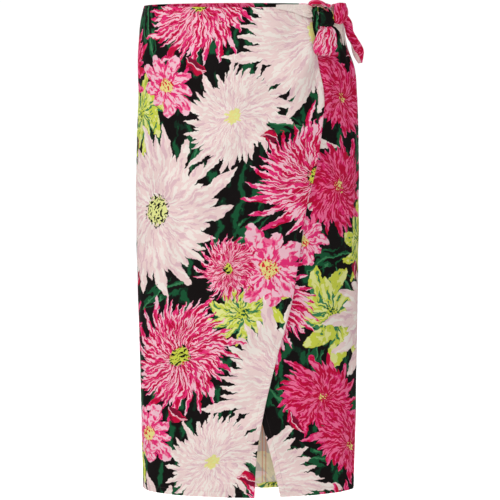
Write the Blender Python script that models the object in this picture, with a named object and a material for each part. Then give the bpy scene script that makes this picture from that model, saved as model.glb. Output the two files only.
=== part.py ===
"""Wrap skirt tied with a bow at the side: two fronts that lap, a back and the tie, as cloth solids.

Metres, +Z up. The front looks towards -Y, and +X is the side where the bow sits. The origin is the middle of
the waist opening. "Drop" is the distance below it. "Bearing" is the angle round the skirt from the middle of
the front, in degrees, positive towards the bow: 90 is that side, 180 the middle of the back, 270 the other
side. "Out" is the distance from the filled-out form that the cloth lies on.
"""

import bmesh
import bpy
import numpy as np

# Driving dimensions
LENGTH = 0.775  # waist edge to hem, down a side seam
WALL = 0.0012  # thickness of one layer of cloth
TIE_WALL = 0.0016  # thickness of the tie, which is sewn double
SEAM_GAP = 0.0003  # between two panels at a seam
LAP_GAP = 0.0006  # between the layers where one front lies on the other
FACING_GAP = 0.0014  # between the back and the strip inside its waist, which are faceted differently
SQUARENESS = 2.15  # exponent of the rings: 2 is an ellipse, and more is squarer
RIGHT_SEAM, LEFT_SEAM = 94.0, 266.0  # bearings of the side seams, just behind the sides
LAP_START = (-88.0, -62.0)  # bearings between which the upper front rises onto the lower one
FACING_DEPTH = 0.030  # of the strip inside the back of the waist
FACING_INSET = 2.0  # degrees of bearing between the strip's ends and the side seams
LEAST_LAP = 6.0  # degrees of bearing that the columns for the lap keep where the two fronts part
KNOT_BUMP = 0.09  # how far the knot's strands stand up, as a share of its radius
KNOT_STRANDS = 5.5  # radians of strand wave over one radius of the knot
KNOT_SLANT = (0.8, 0.6)  # the way the strands follow one another: round the form, and up
FOLD_FADE_IN, FOLD_FADE_OUT = (-0.15, 0.25), (0.75, 1.15)  # along a fold from its first point to its second

# How finely the cloth is divided
PANEL_ROWS = 22
LAP_COLUMNS, CLEAR_COLUMNS, BACK_COLUMNS = 16, 10, 24
FACING_ROWS, FACING_COLUMNS = 2, 24
BAND_POINTS, BAND_STATIONS = 5, 2  # across a band, and for each row of its path

# How far the waist and the hem run off level at the middle of the front and of the back
WAIST_FRONT_DIP, WAIST_BACK_RISE = 0.0020, 0.0040
HEM_FRONT_DIP, HEM_BACK_DIP = 0.0035, 0.0140


def table(columns, rows):
    """Rows of numbers under named columns."""
    return np.array(rows, dtype=[(name, float) for name in columns.split()])


# The filled-out form: half widths to the left and the right, and half depths to the front and the back
PROFILE = table(
    "drop left right front back",
    [
        (0.000, 0.1622, 0.1500, 0.0920, 0.0880),
        (0.018, 0.1672, 0.1510, 0.0960, 0.0925),
        (0.060, 0.1722, 0.1560, 0.1050, 0.1040),
        (0.100, 0.1738, 0.1700, 0.1120, 0.1145),
        (0.135, 0.1737, 0.1732, 0.1160, 0.1205),
        (0.205, 0.1750, 0.1763, 0.1190, 0.1260),
        (0.300, 0.1772, 0.1772, 0.1150, 0.1220),
        (0.445, 0.1754, 0.1762, 0.1020, 0.1020),
        (0.567, 0.1722, 0.1750, 0.0900, 0.0830),
        (0.675, 0.1703, 0.1738, 0.0800, 0.0690),
        (0.795, 0.1678, 0.1712, 0.0710, 0.0590),
    ],
)

# The free edges of the two fronts, as their distance across from the middle of the front
OVER_EDGE = table(
    "drop across",
    [
        (0.000, 0.0965),
        (0.066, 0.1033),
        (0.095, 0.1105),
        (0.137, 0.1170),
        (0.190, 0.1137),
        (0.241, 0.1070),
        (0.320, 0.0900),
        (0.396, 0.0794),
        (0.470, 0.0670),
        (0.551, 0.0450),
        (0.630, 0.0272),
        (0.709, 0.0151),
        (0.795, 0.0105),
    ],
)
UNDER_EDGE = table(
    "drop across",
    [
        (0.000, -0.1200),
        (0.330, -0.0540),
        (0.664, 0.0246),
        (0.717, 0.0381),
        (0.795, 0.0560),
    ],
)

# The largest folds, each from one bearing and drop to another. A negative height makes a trough.
FOLDS = table(
    "bearing_1 drop_1 bearing_2 drop_2 half_width height",
    [
        (74, 0.080, 60, 0.360, 5.0, 0.0030),
        (84, 0.110, 74, 0.420, 6.0, -0.0028),
        (40, 0.030, 14, 0.230, 6.5, 0.0022),
        (33, 0.020, 2, 0.150, 5.0, -0.0018),
        (-72, 0.300, -66, 0.800, 9.0, 0.0026),
        (-30, 0.480, -24, 0.900, 10.0, -0.0022),
        (50, 0.450, 46, 0.900, 9.0, -0.0024),
        (122, 0.180, 128, 0.900, 11.0, 0.0040),
        (146, 0.300, 150, 0.900, 9.0, -0.0060),
        (172, 0.260, 166, 0.950, 12.0, -0.0170),
        (196, 0.300, 192, 0.900, 9.0, 0.0050),
        (214, 0.220, 218, 0.900, 10.0, -0.0055),
        (240, 0.160, 238, 0.900, 11.0, 0.0045),
    ],
)

# The tie where it shows. Each stretch is a band along a path. Its broad side lies flat on the form, round it,
# out from it or straight across the front, then turns by its roll about the path. The cup is how far the middle
# of its width stands off a flat band.
TIE_COLUMNS = "bearing drop out width roll"
TIE = {
    "tie_gather_over": {
        "broad": "flat",
        "cup": 0.0008,
        "path": [
            (16.7, 0.0016, 0.0046, 0.0065, 0),
            (22.0, 0.0026, 0.0048, 0.0095, 0),
            (27.5, 0.0043, 0.0054, 0.0130, 0),
            (32.4, 0.0068, 0.0066, 0.0180, 0),
            (35.5, 0.0085, 0.0080, 0.0195, 0),
            (38.4, 0.0110, 0.0092, 0.0150, 0),
            (41.0, 0.0135, 0.0095, 0.0090, 0),
        ],
    },
    "tie_gather_under": {
        "broad": "flat",
        "cup": 0.0008,
        "path": [
            (53.0, 0.0245, 0.0040, 0.0100, 0),
            (60.0, 0.0262, 0.0056, 0.0130, 0),
            (65.5, 0.0320, 0.0052, 0.0150, 0),
            (69.0, 0.0433, 0.0047, 0.0110, 0),
            (69.4, 0.0528, 0.0043, 0.0065, 0),
            (68.4, 0.0624, 0.0041, 0.0035, 0),
        ],
    },
    "tie_wrap": {
        "broad": "round",
        "cup": 0.0014,
        "path": [
            (39.9, 0.0643, 0.0052, 0.0045, 0),
            (39.9, 0.0522, 0.0064, 0.0075, 0),
            (40.0, 0.0374, 0.0092, 0.0090, 0),
            (39.9, 0.0228, 0.0135, 0.0095, 0),
            (39.4, 0.0120, 0.0155, 0.0090, 0),
            (38.9, 0.0046, 0.0152, 0.0080, 0),
        ],
    },
    "tie_loop_front": {
        "broad": "out",
        "cup": 0.0012,
        "path": [
            (49.0, 0.0074, 0.0190, 0.0110, 20),
            (47.1, 0.0010, 0.0215, 0.0160, 24),
            (42.9, -0.0050, 0.0220, 0.0190, 24),
            (39.1, -0.0060, 0.0210, 0.0190, 22),
            (36.6, -0.0052, 0.0195, 0.0165, 18),
            (36.0, -0.0024, 0.0185, 0.0145, 10),
            (38.0, -0.0010, 0.0190, 0.0120, 5),
            (41.8, -0.0006, 0.0185, 0.0110, 0),
            (46.0, 0.0022, 0.0170, 0.0080, 0),
        ],
    },
    "tie_loop_back": {
        "broad": "round",
        "cup": -0.0024,
        "path": [
            (56.9, 0.0290, 0.0170, 0.0150, -6),
            (56.9, 0.0230, 0.0214, 0.0270, -6),
            (56.9, 0.0123, 0.0240, 0.0320, -6),
            (57.1, 0.0030, 0.0238, 0.0320, -5),
            (57.5, -0.0042, 0.0205, 0.0300, -2),
            (58.2, -0.0040, 0.0155, 0.0280, 0),
            (59.4, 0.0040, 0.0115, 0.0230, 4),
            (61.6, 0.0130, 0.0100, 0.0190, 6),
        ],
    },
    "tie_end_front": {
        "broad": "round",
        "cup": 0.0030,
        "path": [
            (46.0, 0.0321, 0.0181, 0.0200, 15),
            (45.1, 0.0390, 0.0203, 0.0270, 15),
            (44.8, 0.0460, 0.0208, 0.0335, 15),
            (44.7, 0.0546, 0.0197, 0.0385, 14),
            (44.8, 0.0655, 0.0165, 0.0405, 12),
            (44.9, 0.0729, 0.0135, 0.0380, 8),
            (45.2, 0.0766, 0.0106, 0.0320, 4),
            (45.6, 0.0778, 0.0078, 0.0260, 0),
        ],
    },
    "tie_end_side": {
        "broad": "across",
        "cup": 0.0016,
        "path": [
            (64.6, 0.0108, 0.0110, 0.0090, 0),
            (69.2, 0.0284, 0.0160, 0.0135, 0),
            (71.0, 0.0431, 0.0163, 0.0130, 0),
            (73.0, 0.0598, 0.0185, 0.0140, 0),
            (74.5, 0.0760, 0.0165, 0.0175, 0),
            (75.0, 0.0845, 0.0143, 0.0150, 0),
            (75.5, 0.0936, 0.0125, 0.0070, 0),
        ],
    },
}
KNOT = {
    "bearing": 47.6,
    "drop": 0.0221,
    "out": 0.0124,
    "round_radius": 0.0148,
    "out_radius": 0.0106,
    "up_radius": 0.0160,
}


def through(at, values, place):
    """Values between the given ones, on cubic curves through them, and held at the first and the last."""
    slopes = np.gradient(values, at)
    place = np.clip(place, at[0], at[-1])
    row = np.clip(np.searchsorted(at, place, side="right") - 1, 0, len(at) - 2)
    step = at[row + 1] - at[row]
    s = (place - at[row]) / step
    rise = s * s * (3 - 2 * s)
    bend = s * (1 - s) * step * ((1 - s) * slopes[row] - s * slopes[row + 1])
    return values[row] * (1 - rise) + values[row + 1] * rise + bend


def at_drop(rows, column, drop):
    return through(rows["drop"], rows[column], drop)


def ramp(value, low, high):
    """0 up to low, 1 from high on, and a soft S between them."""
    s = np.clip((value - low) / (high - low), 0, 1)
    return s * s * (3 - 2 * s)


def unit(vectors):
    return vectors / np.linalg.norm(vectors, axis=-1, keepdims=True)


def fold_lift(bearing, drop):
    """How far the folds move the cloth out: each a bell across its line that fades in and out along it."""
    lift = np.zeros(np.broadcast(bearing, drop).shape)
    for fold in FOLDS:
        along = (drop - fold["drop_1"]) / (fold["drop_2"] - fold["drop_1"])
        line = fold["bearing_1"] + (fold["bearing_2"] - fold["bearing_1"]) * along
        off = (np.mod(bearing - line + 180, 360) - 180) / fold["half_width"]
        fade = ramp(along, *FOLD_FADE_IN) * (1 - ramp(along, *FOLD_FADE_OUT))
        lift += fold["height"] * fade * np.exp(-(off**2))
    return lift


def form_point(bearing, drop):
    """Points of the form: on a superellipse ring at each drop, moved out by the folds."""
    turn = np.radians(bearing)
    side, ahead = np.sin(turn), np.cos(turn)
    reach = (np.abs(side) ** SQUARENESS + np.abs(ahead) ** SQUARENESS) ** (-1 / SQUARENESS)
    width = np.where(side < 0, at_drop(PROFILE, "left", drop), at_drop(PROFILE, "right", drop))
    depth = np.where(ahead > 0, at_drop(PROFILE, "front", drop), at_drop(PROFILE, "back", drop))
    x, y = side * reach * width, -ahead * reach * depth
    grown = 1 + fold_lift(bearing, drop) / np.hypot(x, y)
    return np.stack([x * grown, y * grown, -drop + 0 * x], axis=-1)


def directions(bearing, drop):
    """Unit vectors at points of the form: round it, towards higher bearings, and out from it."""
    turn, fall = 0.2, 0.0005
    around = form_point(bearing + turn, drop) - form_point(bearing - turn, drop)
    down = form_point(bearing, drop + fall) - form_point(bearing, drop - fall)
    return unit(around), unit(np.cross(down, around))


def cloth_point(bearing, drop, out):
    """Points a distance out from the form."""
    return form_point(bearing, drop) + directions(bearing, drop)[1] * np.asarray(out)[..., None]


def bearing_at(across, drop):
    """The bearing on the front where the form is that far across from the middle."""
    width = np.where(across < 0, at_drop(PROFILE, "left", drop), at_drop(PROFILE, "right", drop))
    side = across / width
    return np.degrees(np.arctan2(side, (1 - np.abs(side) ** SQUARENESS) ** (1 / SQUARENESS)))


def waist_drop(bearing):
    facing = np.cos(np.radians(bearing))
    return WAIST_FRONT_DIP * np.maximum(facing, 0) - WAIST_BACK_RISE * np.maximum(-facing, 0)


def hem_drop(bearing):
    facing = np.cos(np.radians(bearing))
    return LENGTH + HEM_FRONT_DIP * np.maximum(facing, 0) + HEM_BACK_DIP * np.maximum(-facing, 0)


def lap_out(bearing):
    """The upper front rises from the side seam, so that it clears the lower one."""
    return (WALL + LAP_GAP) * ramp(bearing, *LAP_START)


def half_seam(drop):
    """Half the gap of a side seam, in degrees of bearing."""
    return np.degrees(SEAM_GAP / 2 / at_drop(PROFILE, "back", drop))


def over_edge(drop):
    return bearing_at(at_drop(OVER_EDGE, "across", drop), drop)


def under_edge(drop):
    return bearing_at(at_drop(UNDER_EDGE, "across", drop), drop)


def cloth_material(name, colour, roughness):
    made = bpy.data.materials.new(name)
    made.use_nodes = True
    shader = made.node_tree.nodes["Principled BSDF"]
    shader.inputs["Base Color"].default_value = (*colour, 1)
    shader.inputs["Roughness"].default_value = roughness
    shader.inputs["Metallic"].default_value = 0
    return made


def add_object(name, mesh, cloth):
    mesh.materials.append(cloth)
    mesh.shade_smooth()
    mesh.set_sharp_from_angle(angle=np.radians(50))
    piece = bpy.data.objects.new(name, mesh)
    bpy.context.scene.collection.objects.link(piece)


def add_wall(name, outer, inner, cloth):
    """One closed wall between two grids of points, rows by columns, joined along their rims. Its squares are
    cut along the same diagonal everywhere, so that layers with the same columns stay side by side."""
    rows, columns = outer.shape[:2]
    count = rows * columns
    at = np.arange(count).reshape(rows, columns)
    here, right, below, across = at[:-1, :-1], at[:-1, 1:], at[1:, :-1], at[1:, 1:]
    cut = np.stack([[here, right, below], [right, across, below]]).transpose(0, 2, 3, 1).reshape(-1, 3)
    rim = np.concatenate([at[0, :-1], at[:-1, -1], at[-1, :0:-1], at[:0:-1, 0]])
    ahead = np.roll(rim, -1)
    edge = [
        np.stack([rim, rim + count, ahead], axis=-1),
        np.stack([ahead, rim + count, ahead + count], axis=-1),
    ]
    points = np.concatenate([outer.reshape(-1, 3), inner.reshape(-1, 3)])
    faces = np.concatenate([cut, cut[:, ::-1] + count, *edge])
    first, second, third = points[faces[:, 0]], points[faces[:, 1]], points[faces[:, 2]]
    if np.sum(first * np.cross(second, third)) < 0:  # six times the volume, which is negative when inside out
        faces = faces[:, ::-1]
    mesh = bpy.data.meshes.new(name)
    mesh.from_pydata(points.tolist(), [], faces.tolist())
    add_object(name, mesh, cloth)


def add_panel(name, stops, columns, cloth, out=lambda bearing: 0 * bearing):
    """A panel from waist to hem. Each stop gives a bearing at a drop: the panel's start, any line inside it and
    its end. The columns are how many lie between one stop and the next."""
    down = np.linspace(0, 1, PANEL_ROWS)[:, None]
    place = np.arange(sum(columns) + 1)
    drop = down * LENGTH + 0 * place
    for _ in range(3):  # the edges and the run of the waist and the hem depend on each other a little
        marks = np.cumsum([0, *columns])
        lines = [np.broadcast_to(stop(drop), drop.shape) for stop in stops]
        bearing = lines[0]
        for k, count in enumerate(columns):
            share = np.clip((place - marks[k]) / count, 0, 1)
            bearing = bearing + (lines[k + 1] - lines[k]) * share
        drop = waist_drop(bearing) * (1 - down) + hem_drop(bearing) * down
    inner = out(bearing)
    add_wall(name, cloth_point(bearing, drop, inner + WALL), cloth_point(bearing, drop, inner), cloth)


def add_back_facing(name, cloth):
    """The strip inside the back of the waist."""
    bearing = np.linspace(RIGHT_SEAM + FACING_INSET, LEFT_SEAM - FACING_INSET, FACING_COLUMNS + 1)[None, :]
    drop = waist_drop(bearing) + np.linspace(0, FACING_DEPTH, FACING_ROWS + 1)[:, None]
    outer = 0 * drop - FACING_GAP
    add_wall(name, cloth_point(bearing, drop, outer), cloth_point(bearing, drop, outer - WALL), cloth)


def add_band(name, broad, cup, path, cloth):
    """A stretch of the tie, from a path's rows and the shape across its width."""
    rows = table(TIE_COLUMNS, path)
    row = np.arange(len(rows), dtype=float)
    place = np.linspace(0, row[-1], BAND_STATIONS * (len(rows) - 1) + 1)
    bearing, drop, out, width, roll = (through(row, rows[column], place) for column in rows.dtype.names)
    centre = cloth_point(bearing, drop, out)
    ahead = unit(np.gradient(centre, axis=0))
    around, outward = directions(bearing, drop)
    sides = {"flat": np.cross(ahead, outward), "round": around, "out": outward, "across": [[1.0, 0, 0]]}
    side = np.array(sides[broad])
    side = unit(side - ahead * np.sum(side * ahead, axis=-1, keepdims=True))
    turn = np.radians(roll)[:, None]
    side = side * np.cos(turn) + np.cross(ahead, side) * np.sin(turn)
    face = np.cross(ahead, side)
    over = np.linspace(-1, 1, BAND_POINTS)[None, :, None]
    middle = centre[:, None] + side[:, None] * over * width[:, None, None] / 2
    middle = middle + face[:, None] * cup * (1 - over**2) * np.minimum(width / width.max(), 1)[:, None, None]
    half = face[:, None] * TIE_WALL / 2
    add_wall(name, middle + half, middle - half, cloth)


def add_knot(name, cloth):
    """A rounded lump with two strands that run slantwise over it."""
    shape = bmesh.new()
    bmesh.ops.create_uvsphere(shape, u_segments=20, v_segments=12, radius=1)
    bearing, drop = np.array(KNOT["bearing"]), np.array(KNOT["drop"])
    around, outward = directions(bearing, drop)
    centre = cloth_point(bearing, drop, KNOT["out"])
    axes = np.stack([outward * KNOT["out_radius"], around * KNOT["round_radius"], [0, 0, KNOT["up_radius"]]])
    for vert in shape.verts:
        spot = np.array(vert.co)
        strand = np.cos(KNOT_STRANDS * (spot[1] * KNOT_SLANT[0] + spot[2] * KNOT_SLANT[1]))
        vert.co = centre + (spot * (1 - KNOT_BUMP * (1 - strand) / 2)) @ axes
    mesh = bpy.data.meshes.new(name)
    shape.to_mesh(mesh)
    shape.free()
    add_object(name, mesh, cloth)


def build():
    for old in list(bpy.data.objects):
        bpy.data.objects.remove(old)
    front = cloth_material("printed_crepe_front", (0.72, 0.25, 0.36), 0.80)
    lower = cloth_material("printed_crepe_lower_front", (0.62, 0.20, 0.32), 0.80)
    back = cloth_material("printed_crepe_back", (0.66, 0.28, 0.38), 0.80)
    facing = cloth_material("printed_crepe_facing", (0.40, 0.10, 0.18), 0.80)
    tie = cloth_material("printed_crepe_tie", (0.60, 0.03, 0.16), 0.75)
    reverse = cloth_material("crepe_reverse", (0.74, 0.60, 0.56), 0.85)

    # The two fronts share their columns where they lap, so that their facets lie side by side.
    add_panel(
        "front_over",
        [
            lambda drop: LEFT_SEAM - 360 + half_seam(drop),
            lambda drop: np.minimum(under_edge(drop), over_edge(drop) - LEAST_LAP),
            over_edge,
        ],
        [CLEAR_COLUMNS, LAP_COLUMNS],
        front,
        lap_out,
    )
    add_panel(
        "front_under",
        [
            under_edge,
            lambda drop: np.maximum(over_edge(drop), under_edge(drop) + LEAST_LAP),
            lambda drop: RIGHT_SEAM - half_seam(drop),
        ],
        [LAP_COLUMNS, CLEAR_COLUMNS],
        lower,
    )
    add_panel(
        "back",
        [
            lambda drop: RIGHT_SEAM + half_seam(drop),
            lambda drop: LEFT_SEAM - half_seam(drop),
        ],
        [BACK_COLUMNS],
        back,
    )
    add_back_facing("back_facing", facing)
    add_knot("tie_knot", tie)
    for name, band in TIE.items():
        add_band(name, band["broad"], band["cup"], band["path"], reverse if "gather" in name else tie)


build()
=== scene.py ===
# Wrap skirt of floral crepe, filled out as it is worn, with a bow at the side of its waist.
# Metres. -Y is the front, +X the side with the bow, and Z = 0 is the waist edge at the side seams. A place on the
# skirt is a bearing in degrees round it (0 the middle of the front, 90 the bow's side, 180 the middle of the back),
# a drop below the waist edge, and how far out it is from the filled-out form.
import math

import bpy
import numpy as np
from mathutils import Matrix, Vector


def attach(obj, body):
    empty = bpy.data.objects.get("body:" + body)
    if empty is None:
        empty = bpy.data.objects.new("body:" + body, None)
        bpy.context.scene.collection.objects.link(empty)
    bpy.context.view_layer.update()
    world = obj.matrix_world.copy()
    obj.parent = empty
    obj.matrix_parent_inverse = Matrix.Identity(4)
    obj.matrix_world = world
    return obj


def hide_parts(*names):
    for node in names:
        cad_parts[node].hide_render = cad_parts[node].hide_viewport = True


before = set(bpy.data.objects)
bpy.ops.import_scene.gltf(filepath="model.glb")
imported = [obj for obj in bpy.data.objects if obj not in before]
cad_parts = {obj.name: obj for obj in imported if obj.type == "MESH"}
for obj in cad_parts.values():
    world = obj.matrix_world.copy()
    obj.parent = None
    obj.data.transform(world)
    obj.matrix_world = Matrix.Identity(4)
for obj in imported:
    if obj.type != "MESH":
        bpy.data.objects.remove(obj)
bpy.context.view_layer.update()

cameraSet = {"place": (0.004, -3.700, 0.030), "tilt": 6.476, "lens": 166.94, "sensor": 36.0, "clip": (0.1, 60.0)}


def addObject(name, data):
    made = bpy.data.objects.new(name, data)
    bpy.context.scene.collection.objects.link(made)
    return made


def addCamera():
    camera = bpy.data.cameras.new("camera")
    camera.lens, camera.sensor_width, camera.sensor_fit = cameraSet["lens"], cameraSet["sensor"], "HORIZONTAL"
    camera.clip_start, camera.clip_end = cameraSet["clip"]
    holder = addObject("camera", camera)
    holder.location = cameraSet["place"]
    holder.rotation_euler = (math.radians(90 - cameraSet["tilt"]), 0, 0)
    bpy.context.scene.camera = holder


addCamera()
print("camera placed")

# The filled-out form at each drop: half widths to the left and the right, half depths to the front and the back.
form = {
    "squareness": 2.15,
    "drop": [0, 0.018, 0.060, 0.100, 0.135, 0.205, 0.300, 0.445, 0.567, 0.675, 0.795],
    "left": [0.1622, 0.1672, 0.1722, 0.1738, 0.1737, 0.1750, 0.1772, 0.1754, 0.1722, 0.1703, 0.1678],
    "right": [0.1500, 0.1510, 0.1560, 0.1700, 0.1732, 0.1763, 0.1772, 0.1762, 0.1750, 0.1738, 0.1712],
    "front": [0.0920, 0.0960, 0.1050, 0.1120, 0.1160, 0.1190, 0.1150, 0.1020, 0.0900, 0.0800, 0.0710],
    "back": [0.0880, 0.0925, 0.1040, 0.1145, 0.1205, 0.1260, 0.1220, 0.1020, 0.0830, 0.0690, 0.0590],
}

# Folds: from a bearing and a drop to another, half width in degrees, height. A trough's height is negative. Drops and
# heights are in millimetres here.
millimetre = 0.001
folds = [
    # the large ones, which the solids have too
    (74, 80, 60, 360, 5, 3), (84, 110, 74, 420, 6, -2.8), (40, 30, 14, 230, 6.5, 2.2), (33, 20, 2, 150, 5, -1.8),
    (-72, 300, -66, 800, 9, 2.6), (-30, 480, -24, 900, 10, -2.2), (50, 450, 46, 900, 9, -2.4),
    (122, 180, 128, 900, 11, 4), (146, 300, 150, 900, 9, -6), (172, 260, 166, 950, 12, -17),
    (196, 300, 192, 900, 9, 5), (214, 220, 218, 900, 10, -5.5), (240, 160, 238, 900, 11, 4.5),
    # drag from the knot, down and across the upper front
    (43, 28, 24, 128, 2.6, 2), (44, 50, 26, 205, 3.4, -2.1), (47, 72, 36, 255, 3.2, 2), (38, 10, 6, 82, 2.4, -1.4),
    (30, 12, -10, 60, 2.6, 1.2), (20, 50, -14, 170, 4, -1.3), (36, 60, 10, 190, 2.6, 1.5),
    (52, 85, 47, 300, 2.8, -1.8),
    # below the tie's other end, on the lower front
    (62, 42, 55, 165, 2.2, -1.6), (67, 46, 63, 150, 2, 1.7), (73, 50, 73, 190, 2.6, 1.6), (79, 40, 84, 170, 3, -1.5),
    (66, 200, 58, 470, 3.4, -1.7),
    # soft drapes down the front
    (-84, 110, -78, 420, 4.5, -1.4), (-58, 250, -62, 620, 5, -1.1), (-44, 60, -50, 300, 6, 0.9),
    (-12, 300, -8, 700, 6, 1), (12, 420, 9, 850, 5, 1.2), (28, 360, 22, 640, 4.6, -1), (78, 520, 76, 860, 4.4, 1.5),
    (64, 560, 62, 840, 3.6, -1.2),
    # and down the back, from the darts and over the seat
    (103, 50, 108, 260, 3.6, -1.2), (112, 330, 116, 760, 4, -1.8), (134, 60, 130, 240, 4.4, 1),
    (140, 420, 141, 860, 4, 1.8), (158, 360, 156, 700, 4.2, 1.6), (182, 440, 180, 860, 4.6, -2),
    (205, 380, 208, 720, 3.8, 1.5), (228, 300, 230, 800, 4.2, -1.8), (224, 60, 228, 230, 4.2, 0.9),
    (252, 50, 249, 300, 3.8, -1.3), (258, 380, 256, 780, 3.6, 1.4),
]

panels = {
    "length": 0.775,
    "solidWall": 0.0012,  # from the form to the outside of one layer, in the solids
    "wall": 0.0006,  # the thin shell's own thickness
    "hemWall": 0.0010,  # where it is turned and doubled
    "hemWidth": 0.0095,
    "seamGap": 0.0003,
    "rise": 0.0018,  # the upper front lies this much further out
    "riseBearings": (-88, -62),
    "rightSeam": 94,
    "leftSeam": 266,
    "overEdgeDrop": [0, 0.066, 0.095, 0.137, 0.190, 0.241, 0.320, 0.396, 0.470, 0.551, 0.630, 0.709, 0.795],
    "overEdgeAcross": [0.0965, 0.1033, 0.1105, 0.1170, 0.1137, 0.1070, 0.0900, 0.0794, 0.0670, 0.0450, 0.0272,
                       0.0151, 0.0105],
    "underEdgeDrop": [0, 0.330, 0.664, 0.717, 0.795],
    "underEdgeAcross": [-0.1200, -0.0540, 0.0246, 0.0381, 0.0560],
    "waistFrontDip": 0.0020,
    "waistBackRise": 0.0040,
    "hemFrontDip": 0.0035,
    "hemBackDip": 0.0140,
}
foldFade = {"in": (-0.15, 0.25), "out": (0.75, 1.15)}  # in shares of its length
slack = {"height": 0.0004, "seed": 11, "waves": (14, 50, 130), "round": 0.16, "down": 0.8}  # soft waves all over


def through(at, values, place):  # cubic curves through the given values, with their slopes, held at the ends
    at, values = np.asarray(at, float), np.asarray(values, float)
    slopes = np.gradient(values, at)
    place = np.clip(place, at[0], at[-1])
    row = np.clip(np.searchsorted(at, place, side="right") - 1, 0, len(at) - 2)
    step = at[row + 1] - at[row]
    s = (place - at[row]) / step
    rise = s * s * (3 - 2 * s)
    bend = s * (1 - s) * step * ((1 - s) * slopes[row] - s * slopes[row + 1])
    return values[row] * (1 - rise) + values[row + 1] * rise + bend


def ramp(value, low, high):  # 0 up to low, 1 from high on, with s * s * (3 - 2 s) between
    s = np.clip((value - low) / (high - low), 0, 1)
    return s * s * (3 - 2 * s)


def stacked(*parts):
    return np.stack(parts, axis=-1)


def bell(value, half):
    return np.exp(-((value / half) ** 2))


def unit(rows):
    return rows / np.linalg.norm(rows, axis=-1, keepdims=True)


def ripple(seed, waves, *places):
    # a sum of sines of slanted directions with fixed random phases, about 1 high: waves is (count, low, high) in
    # radians per unit of the places
    chance = np.random.default_rng(seed)
    count, low, high = waves
    total = 0.0
    for _ in range(count):
        way = unit(chance.normal(size=len(places)))
        total = total + np.sin(sum(p * w for p, w in zip(places, way)) * chance.uniform(low, high)
                               + chance.uniform(0, 2 * math.pi))
    return total / math.sqrt(count)


def foldLift(bearing, drop):
    # each fold is a bell across its line, and it fades in and out along it
    turn, reach = np.radians(bearing), slack["round"]
    places = reach * np.sin(turn), reach * np.cos(turn), slack["down"] * drop
    lift = slack["height"] * ripple(slack["seed"], slack["waves"], *places)
    for bearing1, drop1, bearing2, drop2, halfWidth, height in folds:
        along = (drop / millimetre - drop1) / (drop2 - drop1)
        line = bearing1 + (bearing2 - bearing1) * along
        off = np.mod(bearing - line + 180, 360) - 180
        fade = ramp(along, *foldFade["in"]) * (1 - ramp(along, *foldFade["out"]))
        lift += height * millimetre * fade * bell(off, halfWidth)
    return lift


def formPoint(bearing, drop):
    # a ring at each drop with |x / width| ** n + |y / depth| ** n = 1, moved out by the folds
    turn = np.radians(bearing)
    side, ahead = np.sin(turn), np.cos(turn)
    n = form["squareness"]
    reach = (np.abs(side) ** n + np.abs(ahead) ** n) ** (-1 / n)
    at = form["drop"]
    width = np.where(side < 0, through(at, form["left"], drop), through(at, form["right"], drop))
    depth = np.where(ahead > 0, through(at, form["front"], drop), through(at, form["back"], drop))
    x, y = side * reach * width, -ahead * reach * depth
    grown = 1 + foldLift(bearing, drop) / np.hypot(x, y)
    return stacked(x * grown, y * grown, -drop + 0 * x)


def directions(bearing, drop):  # round the form towards higher bearings, and out from it, by central differences
    turn, fall = 0.2, 0.0005
    around = formPoint(bearing + turn, drop) - formPoint(bearing - turn, drop)
    down = formPoint(bearing, drop + fall) - formPoint(bearing, drop - fall)
    return unit(around), unit(np.cross(down, around))


def clothPoint(bearing, drop, out):
    return formPoint(bearing, drop) + directions(bearing, drop)[1] * np.asarray(out)[..., None]


def bearingAt(across, drop):  # where the front of the form is that far across from the middle
    at = form["drop"]
    width = np.where(across < 0, through(at, form["left"], drop), through(at, form["right"], drop))
    side = across / width
    n = form["squareness"]
    return np.degrees(np.arctan2(side, (1 - np.abs(side) ** n) ** (1 / n)))


def waistDrop(bearing):
    facing = np.cos(np.radians(bearing))
    return panels["waistFrontDip"] * np.maximum(facing, 0) - panels["waistBackRise"] * np.maximum(-facing, 0)


def hemDrop(bearing):
    facing = np.cos(np.radians(bearing))
    dips = panels["hemFrontDip"] * np.maximum(facing, 0) + panels["hemBackDip"] * np.maximum(-facing, 0)
    return panels["length"] + dips


def halfSeam(drop):
    return np.degrees(panels["seamGap"] / 2 / through(form["drop"], form["back"], drop))


def overEdge(drop):
    return bearingAt(through(panels["overEdgeDrop"], panels["overEdgeAcross"], drop), drop)


def underEdge(drop):
    return bearingAt(through(panels["underEdgeDrop"], panels["underEdgeAcross"], drop), drop)


def runs(points, axis):  # the length run along a grid's rows or columns, from its first one
    steps = np.linalg.norm(np.diff(points, axis=axis), axis=-1)
    start = np.zeros_like(np.take(steps, [0], axis=axis))
    return np.concatenate([start, np.cumsum(steps, axis=axis)], axis=axis)


def spaced(count, dense, share):  # from 0 to 1, with share of the steps within dense of each end
    return np.interp(np.linspace(0, 1, count + 1), [0, share, 1 - share, 1], [0, dense, 1 - dense, 1])


def onPrint(across, down, start):  # the UV map, in metres, with the print upright
    return stacked(start[0] + across, start[1] - down)


def addMesh(name, points, faces, uv, values, slots=0):
    mesh = bpy.data.meshes.new(name)
    mesh.from_pydata(points.tolist(), [], faces)
    corners = np.empty(len(mesh.loops), int)
    mesh.loops.foreach_get("vertex_index", corners)
    mesh.uv_layers.new(name="cloth").data.foreach_set("uv", uv[corners].ravel())
    for label, each in values.items():
        mesh.attributes.new(label, "FLOAT", "POINT").data.foreach_set("value", each.astype(np.float32))
    mesh.polygons.foreach_set("material_index", slots + np.zeros(len(faces), int))
    mesh.shade_smooth()
    mesh.validate()
    return addObject(name, mesh)


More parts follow.
